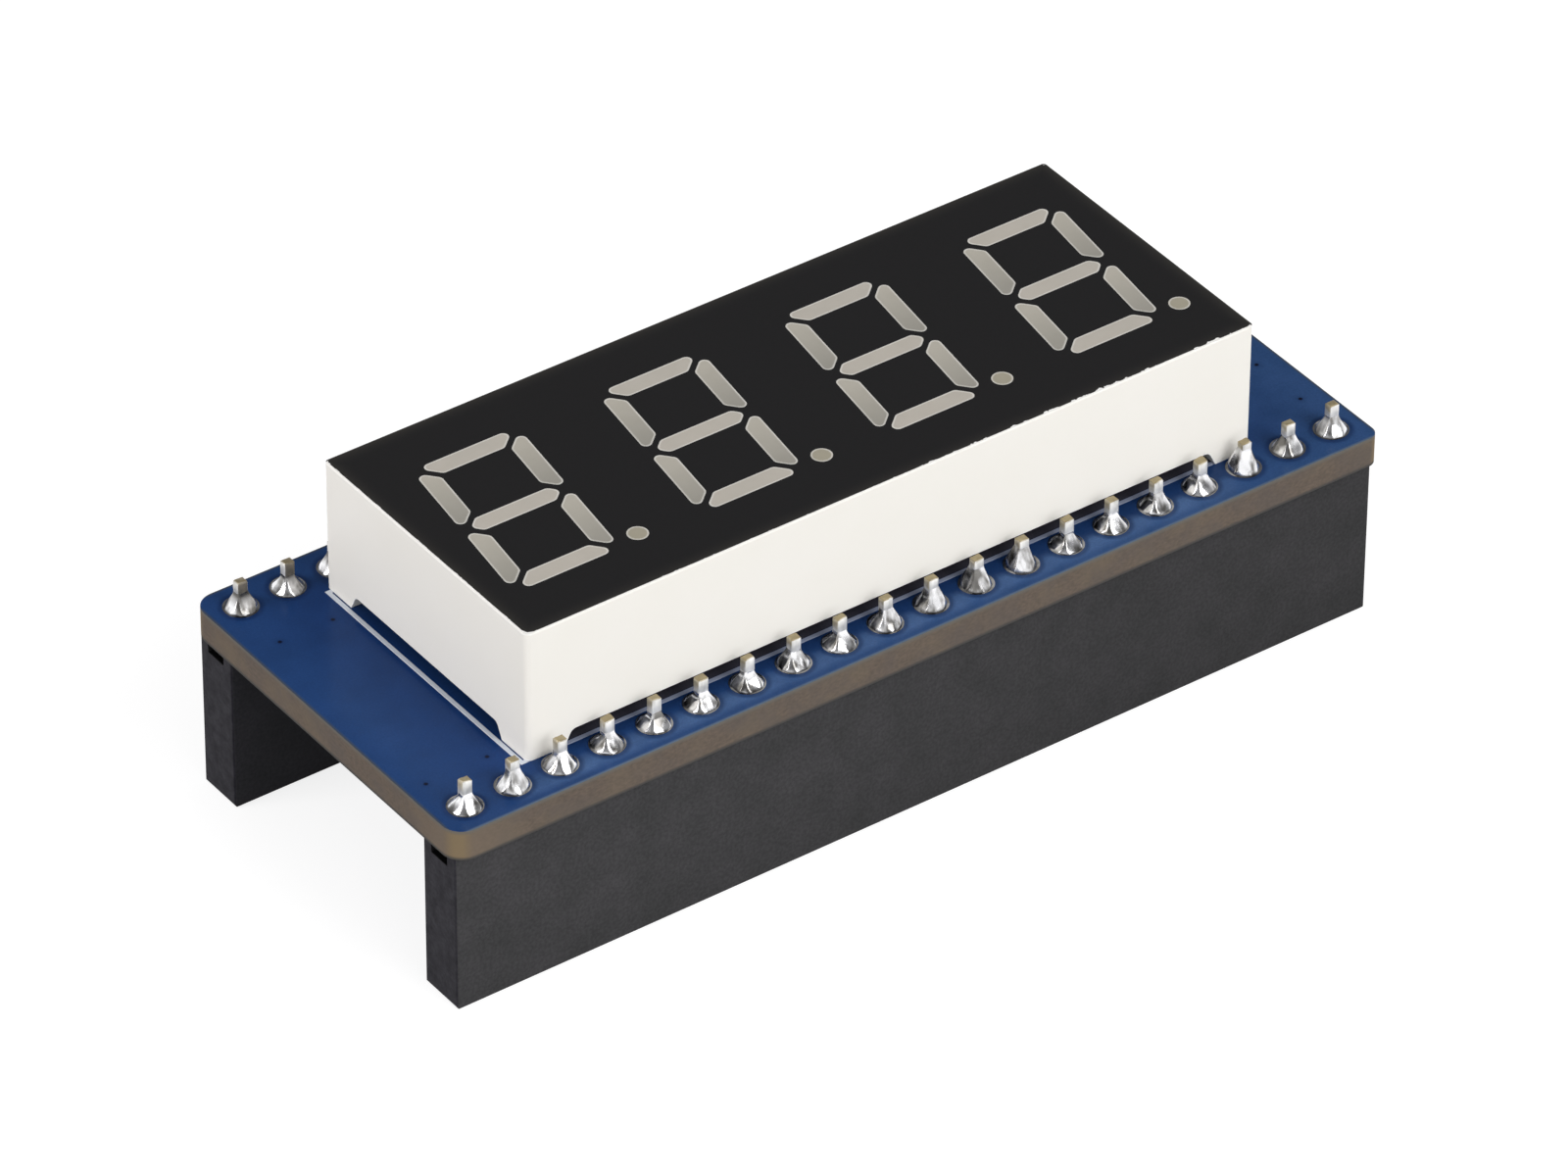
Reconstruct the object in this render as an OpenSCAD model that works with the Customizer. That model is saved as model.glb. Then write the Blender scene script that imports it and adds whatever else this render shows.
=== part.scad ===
/* [Pin rows] */
// Sockets in each row
pin_count = 20; // [8:1:24]
// Distance between neighbouring pins
pitch = 2.54; // [2.1:0.01:3.2]
// Distance between the centre lines of the two rows
row_spacing = 17.78; // [14.5:0.01:24]
// Width of a contact's tail, along the row
tail_w = 0.5; // [0.45:0.01:0.72]
// Thickness of the strip that the contacts are stamped from
strip_t = 0.4; // [0.25:0.01:0.5]
// Height of the tails above the board
tail_rise = 1.45; // [0.9:0.05:3]
// Hole in the board for a tail
tail_hole_d = 1; // [0.85:0.05:1.2]

/* [Circuit board] */
// Thickness of the board
board_t = 1.6; // [0.8:0.1:2.4]
// Board beyond the ends of the header housings
board_end_margin = 0.2; // [0:0.05:3]
// Board beyond the outer faces of the header housings
board_side_margin = 0.36; // [0:0.02:3]
// Radius of the board's left corners
board_left_r = 1.05; // [0.2:0.05:2.5]
// Radius of the board's right corners
board_right_r = 0.6; // [0.2:0.05:2.5]

/* [Header sockets] */
// Height of a header housing
header_h = 8.5; // [7:0.1:12]
// Width of a header housing, across the row
header_w = 2.5; // [2.05:0.05:3.4]
// Housing beyond half a pitch at each end of the row
header_end = 0.15; // [0:0.05:1]
// Radius of a housing's upright edges and of the lower edges of its long sides
header_edge_r = 0.12; // [0.05:0.01:0.3]
// Radius of the lower edges of its ends
header_end_r = 0.25; // [0.05:0.05:0.6]
// Width of the channel that runs along the board side of a housing
channel_w = 1.25; // [0.7:0.05:1.7]
// Depth of that channel
channel_d = 0.7; // [0.2:0.05:1]
// Width of the square hole that a mating pin passes through
entry_w = 0.85; // [0.7:0.05:1.1]
// Width of the lead-in at the mouth of the hole
lead_in_w = 1.5; // [1.1:0.05:1.9]
// Depth of the lead-in
lead_in_d = 0.45; // [0.2:0.05:0.7]

/* [Socket contacts] */
// Width of a fork across its tines, along the row
fork_w = 1.7; // [1.4:0.05:1.9]
// Height of the tips of the tines above the foot of the housing
fork_lift = 1; // [0.8:0.05:1.5]
// Height of the solid part between the slot and the tail
fork_base_h = 1.7; // [0.8:0.05:2.2]
// Depth of the top of that part below the floor of the channel
fork_seat = 0.5; // [0.1:0.05:1.2]
// Gap between the tines where they grip a pin
grip_gap = 0.46; // [0.3:0.02:0.6]
// Gap between the tines at the root of the slot
root_gap = 0.82; // [0.5:0.02:0.9]
// Gap between the tips of the tines
tip_gap = 0.84; // [0.6:0.02:1]
// Width of a tine at its tip
tine_tip_w = 0.28; // [0.2:0.02:0.4]
// Room round a contact in its cavity
contact_clearance = 0.05; // [0.02:0.01:0.1]

/* [Solder] */
// Diameter of the solder on the board round a tail
pad_d = 1.75; // [1.4:0.05:2.1]
// Height of the solder round a tail
solder_h = 0.85; // [0.4:0.05:0.85]
// Diameter of the solder where it leaves a tail
solder_tip_d = 0.78; // [0.74:0.02:1]
// Diameter of the solder on the board round a display lead
lead_pad_d = 1.5; // [1.2:0.05:1.8]

/* [Display] */
// Number of digits
digit_count = 4; // [4:1:4]
// Distance between neighbouring digits, which is also each digit's share of the length
cell_pitch = 10.07; // [8.2:0.01:12.4]
// Height of the display from the board to its face
display_h = 7; // [6:0.1:10]
// Gap between a long wall of the display and the solder of a pin row
display_row_gap = 0.065; // [0.005:0.005:1]
// Thickness of the display's outer walls
wall_t = 1; // [0.6:0.05:1.4]
// Radius of the display's upright corners
display_corner_r = 0.3; // [0.15:0.05:0.8]
// Radius of the edges of the face
display_edge_r = 0.06; // [0.02:0.01:0.08]
// Length of a corner foot along each wall
foot_l = 2; // [1.5:0.1:4]
// Height of the corner feet
foot_h = 0.8; // [0.4:0.05:1.1]
// Distance that the inner side of a foot leans over its height
foot_slope = 0.4; // [0:0.05:0.9]
// Radius of the corners at the top of the gap between the feet
foot_fillet_r = 0.35; // [0.1:0.05:0.4]
// Thickness of the black mask on the face
mask_t = 0.12; // [0.08:0.01:0.3]
// Width of the rim that is left round the mask
mask_rim = 0.1; // [0.1:0.01:0.5]

/* [Digits] */
// Height of a digit
digit_h = 10.12; // [8:0.01:12.4]
// Width of a digit before it is slanted
digit_w = 5.75; // [4.6:0.01:7]
// Width of the upright segments
upright_w = 1; // [0.8:0.01:1.4]
// Width of the top and bottom segments
level_w = 1; // [0.8:0.01:1.4]
// Width of the middle segment
middle_w = 0.98; // [0.8:0.01:1.4]
// Gap between neighbouring segments
segment_gap = 0.32; // [0.2:0.01:0.5]
// Radius of the corners of a segment
segment_r = 0.28; // [0.08:0.01:0.34]
// Angle that the digits lean to the right
slant = 7.9; // [0:0.1:12]
// Distance of each digit to the left of the middle of its cell
digit_shift = 0.08; // [0:0.01:0.3]
// Diameter of the decimal points
point_d = 1.01; // [0.8:0.01:1.4]
// Gap between a decimal point and the digit before it
point_gap = 0.63; // [0.3:0.01:0.8]
// Distance of a decimal point's lower edge below the foot of the digit
point_drop = 0.05; // [0:0.01:0.3]
// Size of a cell at its floor for each unit at its mouth
cell_floor_scale = 0.55; // [0.45:0.01:0.8]

/* [Inside the display] */
// Thickness of the display's own board
display_board_t = 0.8; // [0.4:0.05:1]
// Room between that board and the walls
display_board_clearance = 0.1; // [0.05:0.01:0.3]
// Height of the underside of that board above the circuit board
display_board_lift = 1.88; // [1.6:0.01:2.4]
// Height of the underside of the potting above the circuit board
potting_lift = 1.2; // [1.15:0.01:1.4]
// Width of an LED chip
chip_w = 0.3; // [0.2:0.02:0.34]
// Thickness of an LED chip
chip_t = 0.2; // [0.1:0.02:0.4]

/* [Display leads] */
// Leads in each row
lead_count = 6; // [4:1:8]
// Distance between neighbouring leads
lead_pitch = 2.54; // [2.2:0.01:3.2]
// Diameter of a lead
lead_d = 0.5; // [0.4:0.02:0.6]
// Distance from the centre of a lead to the inner face of the long wall
lead_inset = 0.65; // [0.4:0.05:1]
// Hole in the circuit board for a lead
lead_hole_d = 0.8; // [0.7:0.05:1]
// Length of a lead below the circuit board
lead_drop = 1.4; // [0.8:0.1:2]

/* [Parts under the board] */
// Length of a shift register's body
register_l = 9.9; // [8.9:0.1:11.4]
// Width of a shift register's body
register_w = 3.9; // [3:0.1:4.7]
// Thickness of a shift register's body
register_t = 1.45; // [1:0.05:2]
// Gap between a shift register's body and the board
register_lift = 0.12; // [0.05:0.01:0.25]
// Angle of the sides of the body from the mould
register_draft = 7; // [0:0.5:12]
// Width of a shift register over its leads
register_span = 6; // [5.4:0.1:7.2]
// Distance between a shift register's leads
register_pitch = 1.27; // [1.1:0.01:1.27]
// Width of a shift register's lead
gull_w = 0.4; // [0.3:0.02:0.5]
// Thickness of a shift register's lead
gull_t = 0.2; // [0.12:0.01:0.25]
// Length of the foot of a shift register's lead
gull_foot = 0.65; // [0.4:0.05:0.7]
// Distance of the shift registers from the middle of the board
register_x = 13; // [12.2:0.1:14]
// Length of a resistor or capacitor
chip_part_l = 1.6; // [1.2:0.1:2]
// Width of a resistor or capacitor
chip_part_w = 0.8; // [0.6:0.05:1.2]
// Thickness of a resistor
resistor_t = 0.45; // [0.3:0.05:0.6]
// Thickness of a capacitor
capacitor_t = 0.8; // [0.5:0.05:1.2]
// Length of the metal end of a resistor or capacitor
end_cap_l = 0.3; // [0.2:0.02:0.4]
// Distance between neighbouring resistors
resistor_pitch = 1.5; // [1.3:0.05:1.9]

/* [Hidden] */
$fn = 48;
// Overlap of a cutter with the air beyond the face that it leaves by
cut = 1;

// Footprint: the housings follow the rows, and the board follows the housings
header_l = pin_count * pitch + 2 * header_end;
board_l = header_l + 2 * board_end_margin;
board_w = row_spacing + header_w + 2 * board_side_margin;
board_z = header_h;
board_top = board_z + board_t;

// Socket cavities
channel_floor = header_h - channel_d;
slot_w = fork_w + 2 * contact_clearance;
slot_t = strip_t + 2 * contact_clearance;
slot_floor = fork_lift - 2 * contact_clearance;
fork_top = channel_floor - fork_seat;
fork_root = fork_top - fork_base_h;
fork_l = fork_root - fork_lift;
tail_top = board_top + tail_rise;
// Height of the barbs on a contact's base, and of the flat on each that bears on the housing
barb_h = 0.5;
barb_flat = 0.2;
// Share of a fork's slot at which the tines grip, and the steps that its curve is drawn in
grip_at = 0.78;
slot_steps = 9;

// Display outline: the long walls stand inside the two lines of solder
display_l = digit_count * cell_pitch;
display_w = row_spacing - pad_d - 2 * display_row_gap;
display_z = board_top;
face_z = display_z + display_h;
reflector_z = display_z + display_board_lift + display_board_t;
cell_depth = face_z - reflector_z;
pocket_l = display_l - 2 * wall_t;
pocket_w = display_w - 2 * wall_t;

// Segments, before the slant: half sizes and the shift along a 45 degree end that opens the gap
half_w = digit_w / 2;
half_h = digit_h / 2;
gap_shift = segment_gap / sqrt(2);
middle_tip = half_w - 2 * gap_shift;
middle_half = middle_w / 2;
point_y = -half_h - point_drop + point_d / 2;
point_x = half_w - abs(point_y) * tan(slant) + point_gap + point_d / 2;
// Facets in a full turn of a segment's rounded corner
corner_fn = 16;

// Leads of the display
lead_row_y = pocket_w / 2 - lead_inset;
lead_top = reflector_z;
lead_bottom = board_z - lead_drop;
lead_solder_h = 0.7;
lead_solder_tip_d = lead_d + 0.16;

// Shift registers: half of the leads on each side, and the height at which they leave the body
register_lead_count = 16;
side_lead_count = register_lead_count / 2;
gull_exit_z = board_z - register_lift - register_t / 2;
gull_shoulder = 0.25;
// Round mark in the body at the first lead
dimple_d = 0.9;
dimple_depth = 0.08;
dimple_inset = 1.1;

// Resistors stand in two rows between the shift registers, and a capacitor beyond each
resistor_row_y = 1.45;
capacitor_gap = 1.1;
capacitor_x = register_x + register_l / 2 + capacitor_gap + chip_part_w / 2;
// Metal ends stand proud of the ceramic by this much
end_cap_proud = 0.02;
// Solder reaches this far out on the board, and this share of the way up a metal end
chip_solder_l = 0.3;
chip_solder_rise = 0.7;

function side(front) = front ? -1 : 1;
function pin_x(i) = (i - (pin_count - 1) / 2) * pitch;
function row_y(front) = side(front) * row_spacing / 2;
function lead_x(i) = (i - (lead_count - 1) / 2) * lead_pitch;
function digit_x(k) = (k - (digit_count + 1) / 2) * cell_pitch - digit_shift;
function mixed(a, b, t) = a + (b - a) * t;

// Half the gap between the tines at a share t of the slot's length, from the root to the tips
function slot_half(t) = t < grip_at
    ? mixed(grip_gap, root_gap, (1 + cos(180 * t / grip_at)) / 2) / 2
    : mixed(grip_gap, tip_gap, pow((t - grip_at) / (1 - grip_at), 2)) / 2;
// Width of a tine there
function tine_w(t) = mixed((fork_w - root_gap) / 2, tine_tip_w, t);
function tine_z(t) = fork_root - t * fork_l;
function tine_inner(t) = [slot_half(t), tine_z(t)];
function tine_outer(t) = [slot_half(t) + tine_w(t), tine_z(t)];
function mirrored(points) = [for (i = [len(points) - 1:-1:0]) [-points[i].x, points[i].y]];

// Right half of a contact, from the top of its tail down the outside and up the slot
function contact_half() = concat(
    [
        [tail_w / 2, tail_top],
        [tail_w / 2, fork_top],
        [fork_w / 2, fork_top],
        [fork_w / 2, fork_root + barb_h + barb_flat],
        [slot_w / 2, fork_root + barb_h],
        [slot_w / 2, fork_root + barb_h - barb_flat],
        [fork_w / 2, fork_root + barb_flat / 2]
    ],
    [for (i = [0:slot_steps]) tine_outer(i / slot_steps)],
    [for (i = [slot_steps:-1:0]) tine_inner(i / slot_steps)]
);

// A block with rounded upright corners, centred on the origin and standing on it
module rounded_block(l, w, h, r) {
    linear_extrude(h)
        union() {
            square([l - 2 * r, w], center = true);
            square([l, w - 2 * r], center = true);
            for (x = [-1, 1], y = [-1, 1])
                translate([x * (l / 2 - r), y * (w / 2 - r)])
                    circle(r);
        }
}

// An outline that stands on the origin, with its two lower corners rounded
module rounded_foot(l, h, r) {
    translate([-l / 2, r])
        square([l, h - r]);
    translate([r - l / 2, 0])
        square([l - 2 * r, h]);
    for (x = [-1, 1])
        translate([x * (l / 2 - r), r])
            circle(r);
}

// A rounded block whose lower edges are rounded too: by end_r at its ends and by side_r along its sides
module soft_block(l, w, h, r, end_r, side_r) {
    intersection() {
        rounded_block(l, w, h, r);
        upright_profile(w + 2 * cut)
            rounded_foot(l, h, end_r);
        rotate([0, 0, 90])
            upright_profile(l + 2 * cut)
                rounded_foot(w, h, side_r);
    }
}

// A square funnel, centred on the origin, from its mouth at the bottom to its throat above
module square_funnel(mouth, throat, h) {
    polyhedron(
        points = concat(
            [for (s = [[-1, -1], [1, -1], [1, 1], [-1, 1]]) [s.x * mouth / 2, s.y * mouth / 2, 0]],
            [for (s = [[-1, -1], [1, -1], [1, 1], [-1, 1]]) [s.x * throat / 2, s.y * throat / 2, h]]
        ),
        faces = [[0, 1, 2, 3], [7, 6, 5, 4], [4, 5, 1, 0], [5, 6, 2, 1], [6, 7, 3, 2], [7, 4, 0, 3]]
    );
}

// A profile drawn in X and Z, given its thickness along Y about the middle
module upright_profile(thickness) {
    translate([0, thickness / 2, 0])
        rotate([90, 0, 0])
            linear_extrude(thickness)
                children();
}

// Solder in a hole and up a lead: the board's surface is at z = 0 and the hole runs down from it
module solder_joint(hole_d, base_d, tip_d, h) {
    steps = 8;
    rotate_extrude()
        polygon(concat(
            [[0, h], [0, -board_t], [hole_d / 2, -board_t], [hole_d / 2, 0]],
            [for (i = [0:steps])
                let (t = i / steps)
                [mixed(tip_d, base_d, pow(1 - t, 2.1)) / 2, h * t]]
        ));
}

// Plan of the board, whose left and right corners differ
module board_outline() {
    for (x = [-1, 1], y = [-1, 1])
        let (r = x < 0 ? board_left_r : board_right_r)
            translate([x * (board_l / 2 - r), y * (board_w / 2 - r)])
                circle(r);
    polygon([
        [-board_l / 2, board_left_r - board_w / 2],
        [board_left_r - board_l / 2, -board_w / 2],
        [board_l / 2 - board_right_r, -board_w / 2],
        [board_l / 2, board_right_r - board_w / 2],
        [board_l / 2, board_w / 2 - board_right_r],
        [board_l / 2 - board_right_r, board_w / 2],
        [board_left_r - board_l / 2, board_w / 2],
        [-board_l / 2, board_w / 2 - board_left_r]
    ]);
}

module circuit_board() {
    color([0.13, 0.25, 0.48])
        difference() {
            translate([0, 0, board_z])
                linear_extrude(board_t)
                    board_outline();
            for (front = [true, false], i = [0:pin_count - 1])
                translate([pin_x(i), row_y(front), board_z - cut])
                    cylinder(d = tail_hole_d, h = board_t + 2 * cut);
            for (y = [-1, 1], i = [0:lead_count - 1])
                translate([lead_x(i), y * lead_row_y, board_z - cut])
                    cylinder(d = lead_hole_d, h = board_t + 2 * cut);
        }
}

module header_housing(front) {
    color([0.2, 0.2, 0.21])
        translate([0, row_y(front), 0])
            difference() {
                soft_block(header_l, header_w, header_h, header_edge_r, header_end_r, header_edge_r);
                translate([-header_l / 2 - cut, -channel_w / 2, channel_floor])
                    cube([header_l + 2 * cut, channel_w, channel_d + cut]);
                for (i = [0:pin_count - 1])
                    translate([pin_x(i), 0, 0])
                        socket_cavity();
            }
}

// One socket: the lead-in, the passage for a pin and the slot that holds the contact
module socket_cavity() {
    square_funnel(lead_in_w, entry_w, lead_in_d);
    translate([-entry_w / 2, -entry_w / 2, 0])
        cube([entry_w, entry_w, fork_root]);
    translate([-slot_w / 2, -slot_t / 2, slot_floor])
        cube([slot_w, slot_t, channel_floor - slot_floor + cut]);
}

module contacts(front) {
    half = contact_half();
    color([0.86, 0.8, 0.62])
        for (i = [0:pin_count - 1])
            translate([pin_x(i), row_y(front), 0])
                upright_profile(strip_t)
                    polygon(concat(half, mirrored(half)));
}

module solder_row(front) {
    color([0.82, 0.83, 0.85])
        for (i = [0:pin_count - 1])
            translate([pin_x(i), row_y(front), board_top])
                difference() {
                    solder_joint(tail_hole_d, pad_d, solder_tip_d, solder_h);
                    translate([-tail_w / 2, -strip_t / 2, -board_t - cut])
                        cube([tail_w, strip_t, board_t + solder_h + 2 * cut]);
                }
}

// Outlines of the seven segments about the middle of a digit, upright
function top_segment() = [
    [-half_w + gap_shift, half_h],
    [half_w - gap_shift, half_h],
    [half_w - gap_shift - level_w, half_h - level_w],
    [-half_w + gap_shift + level_w, half_h - level_w]
];
function upper_right_segment() = [
    [half_w, half_h - gap_shift],
    [half_w, 0],
    [half_w - upright_w, upright_w],
    [half_w - upright_w, half_h - gap_shift - upright_w]
];
function middle_segment() = [
    [-middle_tip, 0],
    [middle_half - middle_tip, middle_half],
    [middle_tip - middle_half, middle_half],
    [middle_tip, 0],
    [middle_tip - middle_half, -middle_half],
    [middle_half - middle_tip, -middle_half]
];
function flipped(points, sx, sy) = [for (p = points) [p.x * sx, p.y * sy]];
function slanted(points) = [for (p = points) [p.x + p.y * tan(slant), p.y]];
function middle_of(points) = [for (c = [0, 1]) sum([for (p = points) p[c]]) / len(points)];
function sum(list, i = 0) = i < len(list) ? list[i] + sum(list, i + 1) : 0;

// Every segment of a digit, leaning
segments = [
    slanted(top_segment()),
    slanted(flipped(top_segment(), 1, -1)),
    slanted(upper_right_segment()),
    slanted(flipped(upper_right_segment(), -1, 1)),
    slanted(flipped(upper_right_segment(), 1, -1)),
    slanted(flipped(upper_right_segment(), -1, -1)),
    slanted(middle_segment())
];

// One funnel of the reflector, from a segment's outline at the face down to its chip
module segment_cell(outline) {
    centre = middle_of(outline);
    translate([centre.x, centre.y, face_z])
        mirror([0, 0, 1])
            linear_extrude(cell_depth, scale = cell_floor_scale)
                offset(r = segment_r, $fn = corner_fn)
                    offset(delta = -segment_r)
                        polygon([for (p = outline) p - centre]);
}

module digit_cells(k) {
    translate([digit_x(k), 0, 0]) {
        for (outline = segments)
            segment_cell(outline);
        translate([point_x, point_y, reflector_z])
            cylinder(d1 = point_d * cell_floor_scale, d2 = point_d, h = cell_depth);
    }
}

// A chip stands on the floor of each of a digit's cells
module digit_chips(k) {
    for (c = concat([for (outline = segments) middle_of(outline)], [[point_x, point_y]]))
        translate([digit_x(k) + c.x - chip_w / 2, c.y - chip_w / 2, reflector_z])
            cube([chip_w, chip_w, chip_t]);
}

// Gap between two feet, seen along a wall of the given length
module foot_gap_profile(wall_l) {
    half = wall_l / 2 - foot_l;
    offset(r = foot_fillet_r, $fn = 32)
        offset(delta = -foot_fillet_r)
            polygon([
                [-half, -1],
                [-half, 0],
                [foot_slope - half, foot_h],
                [half - foot_slope, foot_h],
                [half, 0],
                [half, -1]
            ]);
}

module display_housing() {
    color([0.95, 0.94, 0.91])
        difference() {
            translate([0, 0, face_z])
                mirror([0, 0, 1])
                    soft_block(
                        display_l, display_w, display_h,
                        display_corner_r, display_edge_r, display_edge_r
                    );
            translate([0, 0, face_z - mask_t])
                mask_outline(mask_t + cut);
            translate([-pocket_l / 2, -pocket_w / 2, display_z - cut])
                cube([pocket_l, pocket_w, reflector_z - display_z + cut]);
            translate([0, 0, display_z])
                upright_profile(display_w + 2 * cut)
                    foot_gap_profile(display_l);
            translate([0, 0, display_z])
                rotate([0, 0, 90])
                    upright_profile(display_l + 2 * cut)
                        foot_gap_profile(display_w);
            for (k = [1:digit_count])
                digit_cells(k);
        }
}

module mask_outline(h) {
    r = max(display_corner_r - mask_rim, 0.02);
    rounded_block(display_l - 2 * mask_rim, display_w - 2 * mask_rim, h, r);
}

module face_mask() {
    color([0.14, 0.14, 0.14])
        difference() {
            translate([0, 0, face_z - mask_t])
                mask_outline(mask_t);
            for (k = [1:digit_count])
                digit_cells(k);
        }
}

module digit(k) {
    color([0.76, 0.74, 0.69])
        difference() {
            digit_cells(k);
            digit_chips(k);
        }
}

module led_chips() {
    color([0.9, 0.75, 0.3])
        for (k = [1:digit_count])
            digit_chips(k);
}

module display_board() {
    l = pocket_l - 2 * display_board_clearance;
    w = pocket_w - 2 * display_board_clearance;
    color([0.2, 0.42, 0.26])
        difference() {
            translate([-l / 2, -w / 2, reflector_z - display_board_t])
                cube([l, w, display_board_t]);
            display_lead_wires();
        }
}

module potting() {
    color([0.16, 0.16, 0.17])
        difference() {
            translate([-pocket_l / 2, -pocket_w / 2, display_z + potting_lift])
                cube([pocket_l, pocket_w, display_board_lift - potting_lift]);
            display_lead_wires();
        }
}

module display_lead_wires() {
    for (y = [-1, 1], i = [0:lead_count - 1])
        translate([lead_x(i), y * lead_row_y, lead_bottom])
            cylinder(d = lead_d, h = lead_top - lead_bottom);
}

module display_leads() {
    color([0.8, 0.8, 0.82])
        display_lead_wires();
}

module lead_solder() {
    color([0.82, 0.83, 0.85])
        difference() {
            for (y = [-1, 1], i = [0:lead_count - 1])
                translate([lead_x(i), y * lead_row_y, board_z])
                    mirror([0, 0, 1])
                        solder_joint(lead_hole_d, lead_pad_d, lead_solder_tip_d, lead_solder_h);
            display_lead_wires();
        }
}

// Outline of a moulded body along one axis: widest where its two halves meet
module drafted_outline(l) {
    lean = register_t / 2 * tan(register_draft);
    polygon([
        [-l / 2, 0],
        [lean - l / 2, register_t / 2],
        [l / 2 - lean, register_t / 2],
        [l / 2, 0],
        [l / 2 - lean, -register_t / 2],
        [lean - l / 2, -register_t / 2]
    ]);
}

module shift_register(x) {
    color([0.13, 0.13, 0.14])
        translate([x, 0, gull_exit_z])
            difference() {
                intersection() {
                    upright_profile(register_w)
                        drafted_outline(register_l);
                    rotate([0, 0, 90])
                        upright_profile(register_l)
                            drafted_outline(register_w);
                }
                gull_leads();
                translate([dimple_inset - register_l / 2, dimple_inset - register_w / 2, 0])
                    mirror([0, 0, 1])
                        translate([0, 0, register_t / 2 - dimple_depth])
                            cylinder(d = dimple_d, h = dimple_depth + cut);
            }
}

// Side of one bent lead, from inside the body out and up to the board
module gull_profile() {
    root = register_w / 2 - gull_shoulder;
    bend = register_w / 2 + gull_shoulder;
    foot = register_span / 2 - gull_foot;
    tip = register_span / 2;
    rise = board_z - gull_exit_z;
    polygon([
        [root, -gull_t / 2],
        [bend, -gull_t / 2],
        [foot + gull_t / 2, rise - gull_t],
        [tip, rise - gull_t],
        [tip, rise],
        [foot - gull_t / 2, rise],
        [bend - gull_t, gull_t / 2],
        [root, gull_t / 2]
    ]);
}

// All the bent leads of a shift register, about the point where they leave it
module gull_leads() {
    for (turn = [0, 180], i = [0:side_lead_count - 1])
        rotate([0, 0, turn])
            translate([(i - (side_lead_count - 1) / 2) * register_pitch, 0, 0])
                rotate([0, 0, 90])
                    upright_profile(gull_w)
                        gull_profile();
}

module register_leads(x) {
    color([0.78, 0.78, 0.8])
        translate([x, 0, gull_exit_z])
            gull_leads();
}

// A ceramic chip with metal ends, its length along Y, hanging from z = 0
module chip_part(t) {
    translate([-chip_part_w / 2 + end_cap_proud, -chip_part_l / 2 + end_cap_proud, end_cap_proud - t])
        cube([chip_part_w - 2 * end_cap_proud, chip_part_l - 2 * end_cap_proud, t - 2 * end_cap_proud]);
    for (y = [-chip_part_l / 2, chip_part_l / 2 - end_cap_l])
        translate([-chip_part_w / 2, y, -t])
            cube([chip_part_w, end_cap_l, t]);
}

resistor_places = [for (y = [-1, 1], i = [0:3]) [(i - 1.5) * resistor_pitch, y * resistor_row_y, board_z]];
capacitor_places = [for (x = [-1, 1]) [x * capacitor_x, 0, board_z]];

module resistor(k) {
    color([0.12, 0.12, 0.13])
        translate(resistor_places[k - 1])
            chip_part(resistor_t);
}

module capacitor(k) {
    color([0.7, 0.58, 0.42])
        translate(capacitor_places[k - 1])
            chip_part(capacitor_t);
}

// Wedge of solder on the board against a face that stands at y = 0, hanging from z = 0
module solder_wedge(w, h, l) {
    translate([-w / 2, 0, 0])
        rotate([0, 90, 0])
            linear_extrude(w)
                polygon([[0, 0], [h, 0], [h * 0.35, l * 0.35], [0, l]]);
}

module end_wedges(t) {
    for (turn = [0, 180])
        rotate([0, 0, turn])
            translate([0, chip_part_l / 2, 0])
                solder_wedge(chip_part_w, t * chip_solder_rise, chip_solder_l);
}

module chip_solder() {
    color([0.82, 0.83, 0.85]) {
        for (place = resistor_places)
            translate(place)
                end_wedges(resistor_t);
        for (place = capacitor_places)
            translate(place)
                end_wedges(capacitor_t);
        for (x = [-register_x, register_x], turn = [0, 180], i = [0:side_lead_count - 1])
            translate([x, 0, board_z])
                rotate([0, 0, turn])
                    translate([(i - (side_lead_count - 1) / 2) * register_pitch, register_span / 2, 0])
                        solder_wedge(gull_w, gull_t, chip_solder_l);
    }
}

circuit_board();
header_housing(true);  // header_housing_front
header_housing(false);  // header_housing_rear
contacts(true);  // contacts_front
contacts(false);  // contacts_rear
solder_row(true);  // solder_front
solder_row(false);  // solder_rear
display_housing();
face_mask();
digit(1);  // digit_1
digit(2);  // digit_2
digit(3);  // digit_3
digit(4);  // digit_4
led_chips();
display_board();
potting();
display_leads();
lead_solder();
shift_register(-register_x);  // shift_register_1
shift_register(register_x);  // shift_register_2
register_leads(-register_x);  // register_leads_1
register_leads(register_x);  // register_leads_2
resistor(1);  // resistor_1
resistor(2);  // resistor_2
resistor(3);  // resistor_3
resistor(4);  // resistor_4
resistor(5);  // resistor_5
resistor(6);  // resistor_6
resistor(7);  // resistor_7
resistor(8);  // resistor_8
capacitor(1);  // capacitor_1
capacitor(2);  // capacitor_2
chip_solder();
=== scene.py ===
import math
import random

import bmesh
import bpy
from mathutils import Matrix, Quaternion, Vector


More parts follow.
